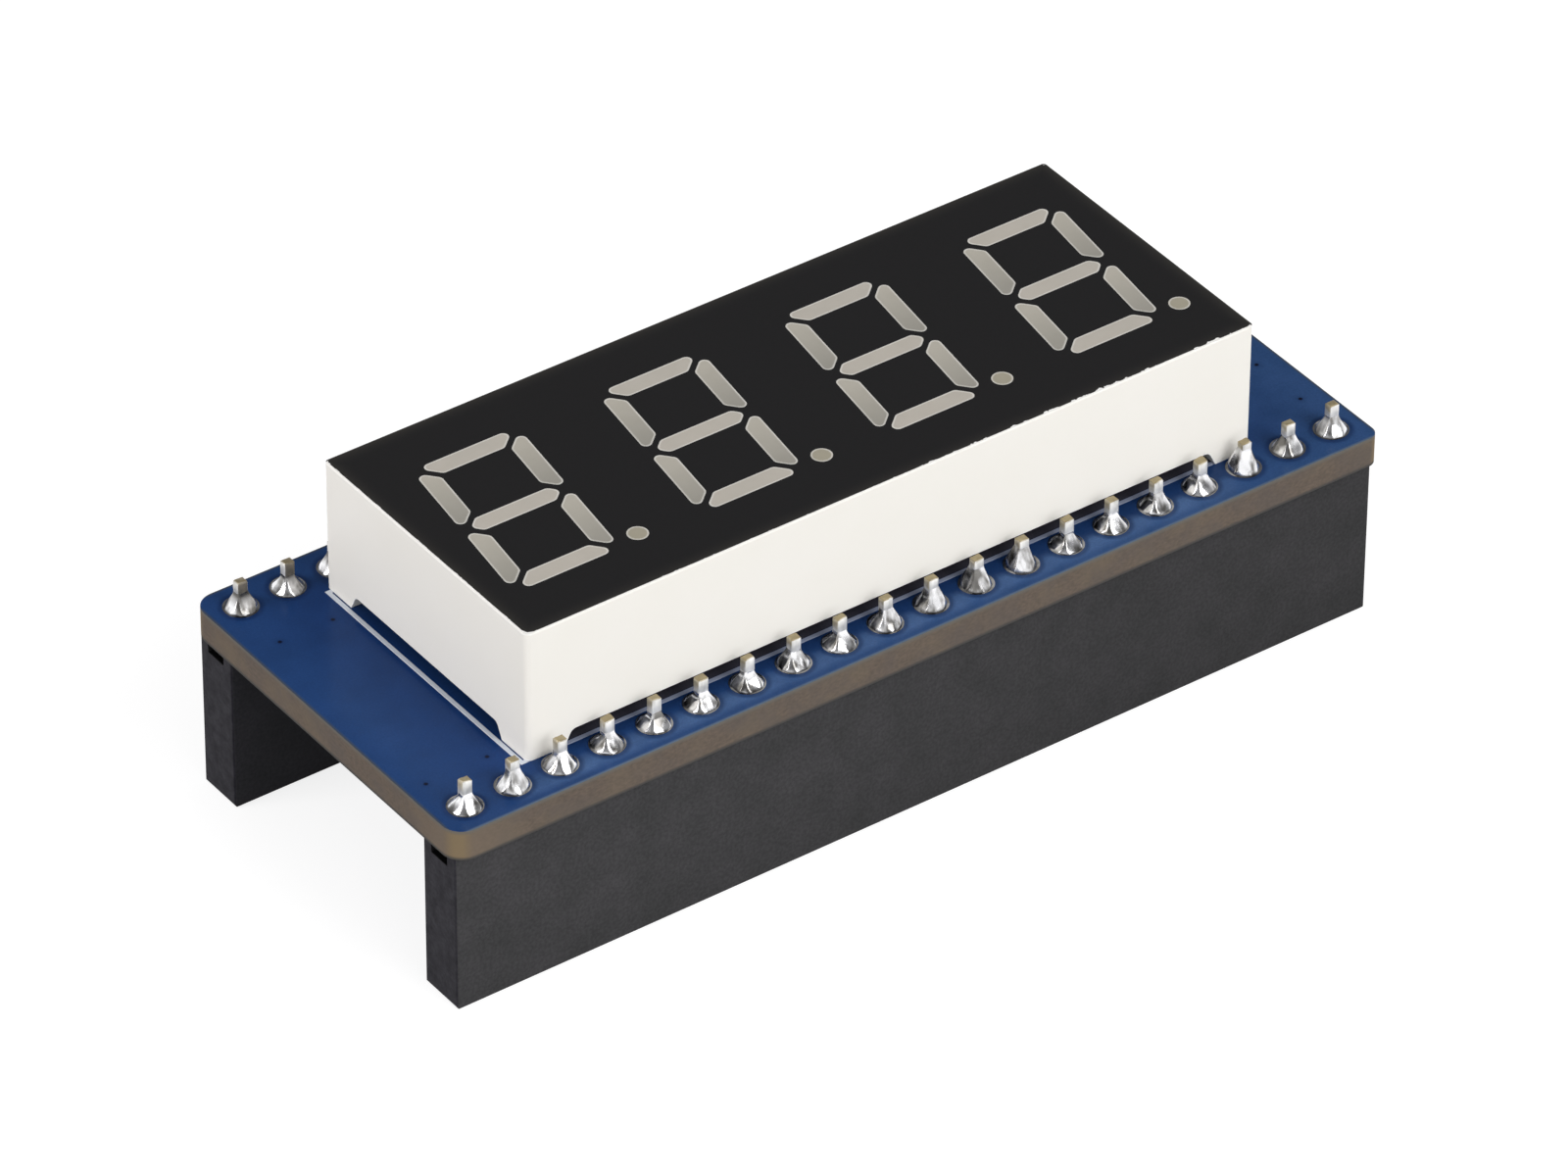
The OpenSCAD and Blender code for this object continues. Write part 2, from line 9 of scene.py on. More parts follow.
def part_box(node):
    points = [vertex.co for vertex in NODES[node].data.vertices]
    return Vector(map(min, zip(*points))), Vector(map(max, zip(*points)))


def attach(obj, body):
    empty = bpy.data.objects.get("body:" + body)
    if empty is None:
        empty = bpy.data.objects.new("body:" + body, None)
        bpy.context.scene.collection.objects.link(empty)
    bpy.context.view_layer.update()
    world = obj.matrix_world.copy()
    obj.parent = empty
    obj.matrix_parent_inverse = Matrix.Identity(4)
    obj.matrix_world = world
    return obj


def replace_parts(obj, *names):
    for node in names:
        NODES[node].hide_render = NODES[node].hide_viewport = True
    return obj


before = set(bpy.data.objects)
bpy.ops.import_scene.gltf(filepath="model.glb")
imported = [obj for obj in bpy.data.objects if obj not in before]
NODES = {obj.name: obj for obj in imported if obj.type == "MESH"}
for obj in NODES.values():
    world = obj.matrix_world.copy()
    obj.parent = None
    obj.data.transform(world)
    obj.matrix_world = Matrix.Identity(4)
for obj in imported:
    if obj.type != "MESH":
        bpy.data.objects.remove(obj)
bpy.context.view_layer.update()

# ---------------------------------------------------------------- what the frame gives, in metres

MM = 0.001
BODY = "root"
ROWS = ("front", "rear")

board_low, board_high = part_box("circuit_board")
housing_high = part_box("display_housing")[1]
BOARD_TOP = board_high.z
BOARD_BOTTOM = board_low.z
# The same in millimetres for the materials, with the display's right and rear sides and its top
TOP_MM = BOARD_TOP / MM
BOTTOM_MM = BOARD_BOTTOM / MM
HOUSING_X_MM = housing_high.x / MM
HOUSING_Y_MM = housing_high.y / MM
HOUSING_TOP_MM = housing_high.z / MM


def mixed(a, b, t):
    return a + (b - a) * t


def low_corner(points):
    return Vector([min(p[i] for p in points) for i in range(3)])


def high_corner(points):
    return Vector([max(p[i] for p in points) for i in range(3)])


def loose_parts(node):
    """The points of each separate solid of a CAD node, the solids from left to right."""
    work = bmesh.new()
    work.from_mesh(NODES[node].data)
    bmesh.ops.remove_doubles(work, verts=work.verts, dist=1e-7)
    solids = []
    left = set(work.verts)
    while left:
        start = left.pop()
        stack = [start]
        points = [start.co.copy()]
        while stack:
            for edge in stack.pop().link_edges:
                for vert in edge.verts:
                    if vert in left:
                        left.discard(vert)
                        points.append(vert.co.copy())
                        stack.append(vert)
        solids.append(points)
    work.free()
    return sorted(solids, key=lambda solid: low_corner(solid).x)


class Tail:
    """Where one contact's tail stands above the board, and the size of the solder on its pad."""

    def __init__(self, contact, solder):
        above = [p for p in contact if p.z > BOARD_TOP]
        low, high = low_corner(above), high_corner(above)
        self.middle = (low + high) / 2
        self.half_x = (high.x - low.x) / 2
        self.half_y = (high.y - low.y) / 2
        self.top = high.z
        self.pad_r = (high_corner(solder).x - low_corner(solder).x) / 2


def tails_of(row):
    """The tails of one row, from left to right."""
    pairs = zip(loose_parts(f"contacts_{row}"), loose_parts(f"solder_{row}"))
    return [Tail(contact, solder) for contact, solder in pairs]


tails = {row: tails_of(row) for row in ROWS}
FIRST_TAIL = tails["front"][0]
PITCH_MM = (tails["front"][1].middle.x - FIRST_TAIL.middle.x) / MM
ROW_Y_MM = -FIRST_TAIL.middle.y / MM
PAD_R_MM = FIRST_TAIL.pad_r / MM

# ---------------------------------------------------------------- camera

VIEW_AZIMUTH = -36.05
VIEW_ELEVATION = 37.02
VIEW_ROLL = 0.36
VIEW_DISTANCE = 489.5 * MM
LENS = 249.5
SENSOR = 36.0
NEAREST = 0.01
FURTHEST = 20
# The camera looks at the board's surface, a little to the left of and before its middle
AIM_LEFT = 3.44 * MM
AIM_FRONT = 4.13 * MM


def orbit(azimuth, elevation):
    """Unit vector from the object towards a viewer at that azimuth and elevation, in degrees."""
    a = math.radians(azimuth)
    e = math.radians(elevation)
    return Vector((math.sin(a) * math.cos(e), -math.cos(a) * math.cos(e), math.sin(e)))


def make_camera():
    """A long lens at the photo's angle."""
    data = bpy.data.cameras.new("camera")
    data.lens = LENS
    data.sensor_width = SENSOR
    data.clip_start = NEAREST
    data.clip_end = FURTHEST
    camera = bpy.data.objects.new("camera", data)
    bpy.context.scene.collection.objects.link(camera)
    back = orbit(VIEW_AZIMUTH, VIEW_ELEVATION)
    camera.location = Vector((-AIM_LEFT, -AIM_FRONT, BOARD_TOP)) + back * VIEW_DISTANCE
    camera.rotation_mode = "QUATERNION"
    roll = Quaternion((0, 0, 1), math.radians(VIEW_ROLL))
    camera.rotation_quaternion = (-back).to_track_quat("-Z", "Y") @ roll
    bpy.context.scene.camera = camera


# ---------------------------------------------------------------- materials


def rgb(red, green, blue):
    """A display colour, each part from 0 to 255, as the linear colour that a shader takes."""
    parts = []
    for value in (red, green, blue):
        c = value / 255
        parts.append(c / 12.92 if c <= 0.04045 else ((c + 0.055) / 1.055) ** 2.4)
    return (*parts, 1.0)


WHITE = rgb(255, 255, 255)


class Finish:
    """A Principled material, with patterns laid out in millimetres of the part's own space."""

    def __init__(self, name, color, roughness, **sockets):
        self.material = bpy.data.materials.new(name)
        self.material.use_nodes = True
        self.tree = self.material.node_tree
        self.shader = self.tree.nodes["Principled BSDF"]
        self.set("Base Color", color)
        self.set("Roughness", roughness)
        for socket, value in sockets.items():
            self.set(socket.replace("_", " ").title().replace("Ior", "IOR"), value)
        coordinates = self.node("ShaderNodeTexCoord").outputs["Object"]
        self.mm = self.vector("SCALE", coordinates, Scale=1 / MM)
        split = self.node("ShaderNodeSeparateXYZ", Vector=self.mm).outputs
        self.x, self.y, self.z = split["X"], split["Y"], split["Z"]

    def set(self, socket, value):
        self.join(value, self.shader.inputs[socket])

    def join(self, value, target):
        if isinstance(value, bpy.types.NodeSocket):
            self.tree.links.new(value, target)
        else:
            target.default_value = value

    def node(self, kind, props=None, **inputs):
        """A node with its inputs set or joined: _0, _1 and so on are inputs by number."""
        made = self.tree.nodes.new(kind)
        for key, value in (props or {}).items():
            setattr(made, key, value)
        for key, value in inputs.items():
            target = made.inputs[int(key[1:])] if key[0] == "_" else made.inputs[key.replace("_", " ")]
            self.join(value, target)
        return made

    def math(self, operation, *values):
        inputs = {f"_{i}": value for i, value in enumerate(values)}
        return self.node("ShaderNodeMath", {"operation": operation}, **inputs).outputs[0]

    def vector(self, operation, value, **inputs):
        made = self.node("ShaderNodeVectorMath", {"operation": operation}, _0=value, **inputs)
        return made.outputs[0]

    def noise(self, per_mm, detail=3.0, stretch=None):
        """Soft noise from 0 to 1, with about that many features to a millimetre."""
        place = self.mm if stretch is None else self.vector("MULTIPLY", self.mm, _1=stretch)
        made = self.node("ShaderNodeTexNoise", Vector=place, Scale=per_mm, Detail=detail)
        return made.outputs["Fac"]

    def span(self, value, low, high, to_low=0.0, to_high=1.0):
        """value taken from the range low..high to the range to_low..to_high, and held inside it."""
        made = self.node("ShaderNodeMapRange", Value=value)
        ends = {"From Min": low, "From Max": high, "To Min": to_low, "To Max": to_high}
        for key, number in ends.items():
            made.inputs[key].default_value = number
        return made.outputs[0]

    def mix(self, factor, a, b, blend="MIX"):
        """a where the factor is 0 and b where it is 1, or another blend of the two."""
        made = self.node("ShaderNodeMix", {"data_type": "RGBA", "blend_type": blend}, Factor=factor)
        self.join(a, made.inputs[6])
        self.join(b, made.inputs[7])
        return made.outputs[2]

    def shade(self, color, factor, low, high=WHITE):
        """color multiplied by low where the factor is 0 and by high where it is 1."""
        return self.mix(1.0, color, self.mix(factor, low, high), "MULTIPLY")

    def product(self, *values):
        """The values multiplied together."""
        made = values[0]
        for value in values[1:]:
            made = self.math("MULTIPLY", made, value)
        return made

    def away(self, x, y):
        """Distance in millimetres from the upright line at x, y."""
        flat = self.vector("MULTIPLY", self.mm, _1=(1.0, 1.0, 0.0))
        made = self.node("ShaderNodeVectorMath", {"operation": "DISTANCE"}, _0=flat, _1=(x, y, 0.0))
        return made.outputs["Value"]

    def inside(self, half_x, half_y, soft=0.05):
        """1 inside an upright block about the middle of the part and 0 outside it."""
        gap_x = self.math("SUBTRACT", half_x, self.math("ABSOLUTE", self.x))
        gap_y = self.math("SUBTRACT", half_y, self.math("ABSOLUTE", self.y))
        return self.span(self.math("MINIMUM", gap_x, gap_y), -soft, soft)

    def normal_part(self, axis):
        """How far the surface faces along an axis of the part, either way, from 0 to 1."""
        normal = self.node("ShaderNodeNewGeometry").outputs["Normal"]
        return self.math("ABSOLUTE", self.node("ShaderNodeSeparateXYZ", Vector=normal).outputs[axis])

    def edge(self, radius_mm, low=0.02, high=0.25):
        """1 near a sharp edge of the piece and 0 away from it."""
        soft = self.node("ShaderNodeBevel", {"samples": 4}, Radius=radius_mm * MM).outputs["Normal"]
        true = self.node("ShaderNodeNewGeometry").outputs["Normal"]
        made = self.node("ShaderNodeVectorMath", {"operation": "DOT_PRODUCT"}, _0=soft, _1=true)
        return self.span(self.math("SUBTRACT", 1.0, made.outputs["Value"]), low, high)

    def relief(self, height, depth_mm, round_mm=0.0):
        """Relief from a height, on sharp edges shaded as if they had that radius."""
        bump = self.node("ShaderNodeBump", Height=height, Distance=depth_mm * MM, Strength=1.0)
        if round_mm:
            soft = self.node("ShaderNodeBevel", {"samples": 6}, Radius=round_mm * MM)
            self.join(soft.outputs["Normal"], bump.inputs["Normal"])
        self.set("Normal", bump.outputs["Normal"])


# The face's ink, where it thins over the rim
FACE_RIM = rgb(51, 49, 46)


def display_plastic():
    """Smooth warm white, with painted highlights along its edges and the face's ink run over its rear and
    right edges.
    """
    f = Finish("display_plastic", rgb(243, 240, 232), 0.45, specular_ior_level=0.25)
    cloud = f.mix(f.noise(0.25, 2.0), rgb(242, 239, 231), rgb(245, 242, 236))
    # Painted highlight: the edges are whiter, as if they caught the light along their rounding
    white = f.mix(f.edge(0.12, 0.01, 0.12), cloud, rgb(254, 254, 253))
    past_right = f.math("SUBTRACT", f.x, HOUSING_X_MM)
    past_rear = f.math("SUBTRACT", f.y, HOUSING_Y_MM)
    on_sides = f.span(f.math("MAXIMUM", past_right, past_rear), -0.15, -0.12)
    near_face = f.span(f.z, HOUSING_TOP_MM - 0.07, HOUSING_TOP_MM - 0.04)
    f.set("Base Color", f.mix(f.product(on_sides, near_face), white, FACE_RIM))
    f.set("Roughness", f.span(f.noise(3.0), 0.3, 0.7, 0.4, 0.52))
    f.relief(f.noise(7.0, 2.0), 0.002, round_mm=0.06)
    return f.material


def mask_print():
    """Matt black ink, paler towards the rim and ragged along the front, most of all on the right."""
    f = Finish("mask_print", rgb(29, 29, 30), 0.62, specular_ior_level=0.12)
    fleck = f.noise(14.0, 3.0)
    black = f.mix(fleck, rgb(25, 25, 26), rgb(31, 30, 31))
    inset_x = f.math("SUBTRACT", HOUSING_X_MM, f.math("ABSOLUTE", f.x))
    inset_y = f.math("SUBTRACT", HOUSING_Y_MM, f.math("ABSOLUTE", f.y))
    near_rim = f.span(f.math("MINIMUM", inset_x, inset_y), 0.0, 1.0, 1.0, 0.0)
    black = f.mix(f.math("POWER", near_rim, 2.6), black, FACE_RIM)
    left = f.math("ADD", f.x, HOUSING_X_MM)
    front = f.math("ADD", f.y, HOUSING_Y_MM)
    ragged = f.span(f.noise(2.6, 5.0), 0.5, 0.72, 0.0, 0.13)
    worn = f.product(ragged, f.span(f.x, -6.0, 8.0, 0.35, 1.0))
    corner = f.span(f.math("ADD", left, front), 0.25, 0.6, 0.2, 0.0)
    reach = f.math("ADD", f.math("ADD", worn, corner), 0.09)
    bare = f.span(f.math("SUBTRACT", reach, f.math("MINIMUM", left, front)), -0.008, 0.008)
    f.set("Base Color", f.mix(bare, black, rgb(250, 249, 246)))
    f.relief(fleck, 0.002)
    return f.material


# Sizes of a digit, in millimetres, for the shading of its segments
DIGIT_HALF_W = 2.875
DIGIT_HALF_H = 5.06
DIGIT_LEAN = math.tan(math.radians(7.9))
# The digits stand this far left of the middle, and a decimal point is more than this past its digit's side
DIGIT_SHIFT = 0.08
POINT_GAP = 0.3
DIGIT_PITCH = (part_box("digit_2")[0].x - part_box("digit_1")[0].x) / MM


def segment_resin():
    """Cloudy resin: upright segments have painted shade that darkens them towards the front, and every
    segment has a pale rim.
    """
    f = Finish("segment_resin", rgb(178, 173, 162), 0.42, specular_ior_level=0.3)
    # The inner two digits stand half a pitch to either side of the middle
    place = f.math("ADD", f.x, DIGIT_SHIFT)
    across = f.math("SUBTRACT", f.math("WRAP", place, DIGIT_PITCH, 0.0), DIGIT_PITCH / 2)
    # x and y are distances from the middle of a digit, with its lean taken out
    x = f.math("ABSOLUTE", f.math("SUBTRACT", across, f.product(f.y, DIGIT_LEAN)))
    y = f.math("ABSOLUTE", f.y)
    side_gap = f.math("SUBTRACT", DIGIT_HALF_W, x)
    end_gap = f.math("MINIMUM", f.math("SUBTRACT", DIGIT_HALF_H, y), y)
    upright = f.math("LESS_THAN", side_gap, end_gap)
    along = f.math("DIVIDE", f.math("WRAP", f.y, DIGIT_HALF_H, 0.0), DIGIT_HALF_H)
    # Painted shade: each upright segment darkens towards its front end
    upright_painted_shade = f.mix(f.span(along, 0.1, 0.8), rgb(151, 148, 140), rgb(182, 177, 166))
    level = f.mix(f.noise(0.5, 1.0), rgb(183, 178, 169), rgb(191, 184, 174))
    point = f.math("GREATER_THAN", x, DIGIT_HALF_W + POINT_GAP)
    tone = f.mix(point, f.mix(upright, level, upright_painted_shade), rgb(163, 157, 140))
    tone = f.shade(tone, f.noise(1.6, 2.0), rgb(246, 246, 244))
    f.set("Base Color", f.mix(f.edge(0.17, 0.004, 0.07), tone, rgb(222, 220, 214)))
    f.relief(f.noise(5.0, 1.0), 0.002)
    return f.material


def header_plastic():
    """Moulded charcoal, finely mottled, and bluer on the ends, where the strip was cut."""
    f = Finish("header_plastic", rgb(62, 62, 63), 0.65, specular_ior_level=0.07)
    side = f.mix(f.span(f.noise(0.5, 5.0), 0.3, 0.7), rgb(63, 63, 64), rgb(71, 70, 72))
    side = f.shade(side, f.span(f.x, -14.0, 12.0), WHITE, rgb(233, 233, 233))
    cut = f.mix(f.span(f.noise(1.6, 5.0), 0.35, 0.65), rgb(40, 39, 44), rgb(54, 53, 58))
    face = f.mix(f.span(f.normal_part("X"), 0.4, 0.6), side, cut)
    grain = f.noise(6.0, 4.0)
    face = f.shade(face, f.span(grain, 0.35, 0.65), rgb(228, 228, 228))
    # Painted shade: it is a little darker towards the foot, and on the two faces between the rows
    face = f.shade(face, f.span(f.z, 0.0, 4.5), rgb(243, 243, 243))
    across = f.math("SUBTRACT", f.math("ABSOLUTE", f.y), ROW_Y_MM)
    face = f.shade(face, f.span(across, -1.2, -1.15), rgb(212, 212, 220))
    # Little light reaches the channel along the board
    channel_y = f.span(f.math("ABSOLUTE", across), 0.66, 0.6)
    channel_z = f.span(f.z, BOTTOM_MM - 0.75, BOTTOM_MM - 0.7)
    f.set("Base Color", f.mix(f.product(channel_y, channel_z), face, rgb(9, 9, 10)))
    f.relief(grain, 0.006, round_mm=0.05)
    return f.material


# Covered vias, in millimetres on the board. The last six are at the ends of tracks on the underside
VIAS = (
    (-24.15, 5.7), (-21.3, 5.7), (-21.35, -6.55), (-24.65, -6.6), (24.45, -6.2), (24.45, -2.9),
    (-14.9, 5.0), (-14.9, -5.0), (14.9, 5.0), (14.9, -5.0), (-19.45, -2.6), (19.45, -2.6)
)


def board_laminate():
    """Blue solder mask over copper on the two faces, and brown glass laminate on the sawn edges."""
    tint = (0.5, 0.8, 1.0, 1.0)
    f = Finish("board_laminate", rgb(40, 71, 120), 0.2, specular_ior_level=0.12, specular_tint=tint)
    face = f.span(f.normal_part("Z"), 0.4, 0.6)
    upper = f.span(f.z, BOTTOM_MM + 0.5, TOP_MM - 0.5)
    # Painted shade: the board is darker in a ring round each pad, where the joint shades it
    from_first = f.math("SUBTRACT", f.x, FIRST_TAIL.middle.x / MM)
    along = f.math("WRAP", from_first, PITCH_MM / 2, -PITCH_MM / 2)
    across = f.math("SUBTRACT", f.math("ABSOLUTE", f.y), ROW_Y_MM)
    radius = f.math("SQRT", f.math("ADD", f.math("POWER", along, 2.0), f.math("POWER", across, 2.0)))
    pad_ring_shade = f.span(radius, PAD_R_MM + 0.1, PAD_R_MM + 0.28, 1.0, 0.0)
    cloud = f.span(f.noise(0.5, 4.0), 0.3, 0.7)
    # Painted shade: the board is darker on the left, where the display shades it
    left = f.mix(cloud, rgb(30, 60, 108), rgb(34, 66, 118))
    right = f.mix(cloud, rgb(42, 73, 119), rgb(51, 82, 131))
    blue = f.mix(f.span(f.x, -20.0, 22.0), left, right)
    # Painted shade: the blue deepens towards the display, in its shade
    near_x = f.span(f.math("ABSOLUTE", f.x), 24.6, 20.4)
    near_y = f.span(f.math("ABSOLUTE", f.y), 9.2, 7.5)
    display_shade = f.product(near_x, near_y)
    blue = f.shade(blue, f.product(upper, display_shade), WHITE, rgb(212, 222, 238))
    # Painted reflection: a pale, mottled band before the front row, all but its ends, where the foot of
    # the display's front wall shows in the glossy mask
    wall_reflection_y = f.product(f.span(f.y, -8.75, -9.35), f.span(f.y, -10.2, -9.8))
    wall_reflection_x = f.product(f.span(f.x, -22.3, -21.2), f.span(f.x, 18.6, 15.5))
    reflection_mottle = f.span(f.noise(0.7, 3.0), 0.36, 0.62, 0.5, 0.85)
    blue = f.mix(f.product(upper, wall_reflection_y, wall_reflection_x, reflection_mottle), blue, rgb(70, 100, 147))
    # Painted shade in a ring round each pad
    blue = f.mix(f.product(pad_ring_shade, 0.6), blue, rgb(19, 42, 86))
    # Painted shade: the board is darker along the display's long sides, reaching a little further out on
    # the right, and darker still under the display, where it shades the board
    reach = f.math("ADD", f.span(f.x, -10.0, 5.0, 0.6, 1.05), HOUSING_Y_MM)
    clear = f.inside(HOUSING_X_MM - 0.1, reach, 0.2)
    blue = f.mix(f.product(upper, clear), blue, rgb(27, 53, 97))
    dark = f.inside(HOUSING_X_MM - 0.75, HOUSING_Y_MM - 0.2, 0.15)
    blue = f.mix(f.product(upper, dark), blue, rgb(58, 57, 66))
    # The tracks of the underside show lighter
    blue = f.mix(f.span(f.z, BOTTOM_MM - 0.02, BOTTOM_MM - 0.03), blue, rgb(60, 99, 152))
    for via_x, via_y in VIAS:
        gap = f.away(via_x, via_y)
        blue = f.mix(f.span(gap, 0.15, 0.4, 0.2, 0.0), blue, rgb(16, 34, 74))
        blue = f.mix(f.span(gap, 0.07, 0.14, 1.0, 0.0), blue, rgb(8, 13, 36))
    blue = f.shade(blue, f.span(f.noise(9.0, 2.0), 0.3, 0.7), rgb(238, 238, 238))
    # The mask is chipped along the sawn edge
    rim = f.inside(board_high.x / MM - 0.1, board_high.y / MM - 0.1, 0.06)
    chipped = f.mix(f.span(f.y, -10.3, -9.9), rgb(90, 104, 122), rgb(64, 73, 86))
    blue = f.mix(rim, chipped, blue)
    # The sawn edge is darker along its foot and greyer along its top. It has painted light where it turns
    # round the corners, paler there and for some way round the front left one
    fibre = f.noise(5.0, 5.0, stretch=(0.9, 0.9, 1.5))
    brown = f.mix(f.span(fibre, 0.3, 0.7), rgb(95, 86, 77), rgb(111, 98, 88))
    brown = f.mix(f.span(f.noise(0.5, 4.0), 0.45, 0.7, 0.0, 0.6), brown, rgb(115, 103, 88))
    brown = f.mix(f.span(f.noise(0.8, 3.0), 0.35, 0.6, 0.5, 0.0), brown, rgb(95, 88, 84))
    # Painted light on the rounding of the corners, and round the front left one
    corner = f.math("MINIMUM", f.normal_part("X"), f.normal_part("Y"))
    front_left_corner_light = f.span(f.away(board_low.x / MM, board_low.y / MM), 0.8, 4.0, 0.6, 0.0)
    brown = f.mix(front_left_corner_light, brown, rgb(124, 110, 95))
    brown = f.mix(f.span(corner, 0.1, 0.55, 0.0, 0.8), brown, rgb(132, 115, 88))
    brown = f.mix(f.span(f.z, BOTTOM_MM + 0.06, BOTTOM_MM + 0.2, 0.9, 0.0), brown, rgb(72, 71, 70))
    brown = f.mix(f.span(f.z, TOP_MM - 0.22, TOP_MM - 0.08, 0.0, 0.85), brown, rgb(106, 103, 98))
    f.set("Base Color", f.mix(face, brown, blue))
    f.set("Roughness", f.span(face, 0, 1, 0.8, 0.2))
    # The mask stands round each pad as a low step
    step = f.span(radius, PAD_R_MM + 0.03, PAD_R_MM + 0.1)
    surface = f.math("ADD", f.product(f.noise(1.2, 2.0), 0.3), f.product(step, 0.7))
    f.relief(f.mix(face, f.product(fibre, 0.4), surface), 0.016, round_mm=0.04)
    return f.material


def solder_metal():
    """Bright below and duller up the neck, with grey streaks of painted reflection and a dark line of
    painted shade at the board.
    """
    f = Finish("solder_metal", rgb(226, 227, 229), 0.12, metallic=1.0)
    height = f.math("SUBTRACT", f.z, TOP_MM)
    neck = f.span(height, 0.6, 1.15)
    uneven = f.span(f.noise(1.5), 0.35, 0.65, 0.1, 0.22)
    f.set("Roughness", f.math("ADD", uneven, f.product(neck, 0.2)))
    f.set("Metallic", f.span(neck, 0, 1, 1.0, 0.6))
    # Painted reflection: grey streaks in the metal's colour stand for the dark streaks that its facets
    # reflect
    streaks = f.span(f.noise(1.9, 2.0, stretch=(1.0, 1.0, 0.3)), 0.37, 0.57)
    bright = f.mix(streaks, rgb(132, 130, 127), rgb(250, 250, 252))
    # Painted shade: a dark line where the joint meets the board
    foot = f.product(f.span(height, -0.03, -0.01), f.span(height, 0.03, 0.11, 0.75, 0.0))
    # The rear row is dull up its necks
    dull = f.product(f.span(f.y, 7.5, 8.0), f.span(height, 0.3, 0.8))
    bright = f.mix(dull, bright, rgb(100, 98, 95))
    f.set("Base Color", f.mix(foot, bright, rgb(108, 108, 110)))
    f.relief(f.noise(2.5, 2.0), 0.006)
    return f.material


def contact_metal():
    """Tin plate on the rolled faces of the strip, and bare bronze where it was sheared."""
    f = Finish("contact_metal", rgb(236, 235, 231), 0.36, metallic=0.45)
    top = FIRST_TAIL.top / MM
    # The sheared faces look along X in the front row and along Y in the rear row
    rear = f.span(f.y, -0.5, 0.5)
    flank = f.mix(rear, f.normal_part("X"), f.normal_part("Y"))
    # The tin ends at an uneven height
    height = f.math("ADD", f.z, f.span(f.noise(3.0), 0.3, 0.7, -0.15, 0.15))
    sheared = f.span(flank, 0.6, 0.85)
    side = f.product(sheared, f.span(height, top - 0.5, top - 0.15, 0.0, 0.8))
    # The rear row is bare further down, and darker
    lower = f.product(sheared, f.span(height, top - 1.1, top - 0.7, 0.0, 0.9))
    side = f.math("MAXIMUM", side, f.product(rear, lower))
    end = f.product(f.span(f.normal_part("Z"), 0.35, 0.6), f.span(height, top - 0.3, top - 0.1))
    bare = f.math("MAXIMUM", side, end)
    bronze = f.mix(f.noise(3.0, 2.0), rgb(140, 126, 96), rgb(184, 170, 134))
    dark = f.mix(f.noise(3.0, 2.0), rgb(84, 79, 68), rgb(138, 126, 104))
    bronze = f.mix(f.product(rear, f.span(side, 0.0, 0.5, 0.45, 1.0)), bronze, dark)
    streaks = f.span(f.noise(2.2, 2.0, stretch=(1.0, 1.0, 0.4)), 0.35, 0.6)
    tin = f.mix(streaks, rgb(206, 205, 201), rgb(249, 248, 245))
    f.set("Base Color", f.mix(bare, tin, bronze))
    f.set("Roughness", f.span(bare, 0, 1, 0.32, 0.42))
    f.relief(f.noise(2.5, 1.0), 0.007)
    return f.material


# Printed outline round the foot of the display: the places of its four sides, and the width and thickness
# of its line
LEGEND_LEFT = -20.335 * MM
LEGEND_RIGHT = 20.08 * MM
LEGEND_FRONT = -7.8 * MM
LEGEND_REAR = 7.5 * MM
LEGEND_W = 0.24 * MM
LEGEND_T = 0.015 * MM


def legend_ink():
    """Pale ink, clean at the ends of the display, with painted shade darkening it under the display's long
    sides.
    """
    f = Finish("legend_ink", rgb(206, 212, 221), 0.5, specular_ior_level=0.2)
    pale = f.mix(f.noise(3.0, 3.0), rgb(192, 200, 212), rgb(218, 222, 228))
    # Painted shade: the line under the display's long sides is darker, where the display shades it
    long_side_shade = f.mix(f.noise(2.0, 3.0), rgb(134, 142, 164), rgb(148, 156, 178))
    ends = f.span(f.math("ABSOLUTE", f.x), LEGEND_RIGHT / MM - 0.1, LEGEND_RIGHT / MM + 0.1)
    f.set("Base Color", f.mix(ends, long_side_shade, pale))
    f.relief(f.noise(8.0, 2.0), 0.004)
    return f.material


def chip_ceramic(name, body, other, node):
    """Ceramic with tinned ends: the chips lie along Y."""
    low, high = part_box(node)
    half = (high.y - low.y) / 2 / MM
    middle = abs(low.y + high.y) / 2 / MM
    f = Finish(name, body, 0.35)
    y = f.math("SUBTRACT", f.math("ABSOLUTE", f.y), middle)
    end = f.span(f.math("ABSOLUTE", y), half - 0.33, half - 0.27)
    tin = f.mix(f.noise(3.0), rgb(196, 197, 200), rgb(224, 224, 226))
    f.set("Base Color", f.mix(end, f.mix(f.noise(5.0), body, other), tin))
    f.set("Metallic", end)
    f.relief(f.noise(8.0, 2.0), 0.008, round_mm=0.05)
    return f.material


def plain_finish(name, color, other, roughness, per_mm=4.0, **sockets):
    """A material that only wavers between two colours."""
    f = Finish(name, color, roughness, **sockets)
    f.set("Base Color", f.mix(f.noise(per_mm), color, other))
    f.relief(f.noise(per_mm * 3, 2.0), 0.004)
    return f.material


SOLDER = solder_metal()
CONTACT = contact_metal()
BOARD = board_laminate()


